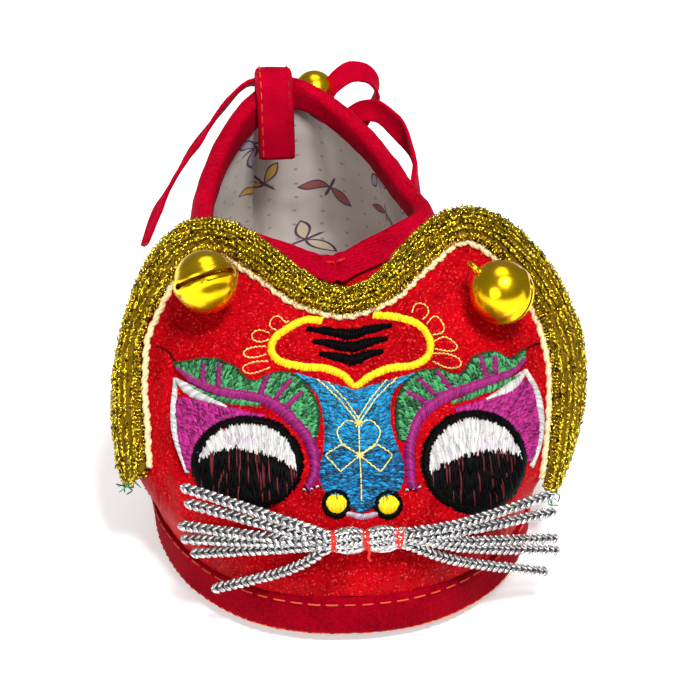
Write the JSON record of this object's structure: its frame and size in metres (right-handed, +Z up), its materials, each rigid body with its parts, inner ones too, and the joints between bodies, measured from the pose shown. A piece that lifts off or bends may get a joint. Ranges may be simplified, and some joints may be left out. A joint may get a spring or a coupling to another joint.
{
  "type": "tiger slipper",
  "caption": "Baby's soft cloth shoe in red satin with an embroidered tiger-face vamp, standing ears, tinsel edging, sleigh bells, cord whiskers and a tie bow at the heel.",
  "frame": {"origin": "on the floor under the middle of the shoe's box, ties left out", "axes": "+Z up, -Y towards the toe, +X to the right of someone who looks at the face"},
  "size_m": [0.087, 0.127, 0.0573],
  "materials": {
    "sole_cloth": "matt dark red cloth",
    "lining": "printed off-white cotton",
    "satin": "red satin with a soft gloss",
    "tape": "crimson woven tape",
    "tinsel": "glittering gold tinsel yarn",
    "black_thread": "black embroidery thread with white and violet",
    "green_thread": "green embroidery thread with violet",
    "blue_thread": "blue embroidery thread with yellow",
    "yellow_thread": "yellow embroidery thread",
    "bell_brass": "bright polished",
    "silver_cord": "silver tinsel braid"
  },
  "bodies": {
    "root": {"outsole": "sole_cloth", "insole": "lining", "upper": "satin", "sole_band": "tape", "collar_tape": "tape", "face_panel": "satin", "gold_braid": "tinsel", "eye_left": "black_thread", "eye_right": "black_thread", "brow_left": "green_thread", "brow_right": "green_thread", "nose": "blue_thread", "forehead_ring": "yellow_thread", "bell_ear_left": "bell_brass", "bell_ear_right": "bell_brass", "bell_heel": "bell_brass", "whiskers": "silver_cord", "heel_tab": "tape", "tie_knot": "tape", "tie_loop_left": "tape", "tie_loop_right": "tape", "tie_tail_left": "tape", "tie_tail_right": "tape"}
  },
  "joints": []
}
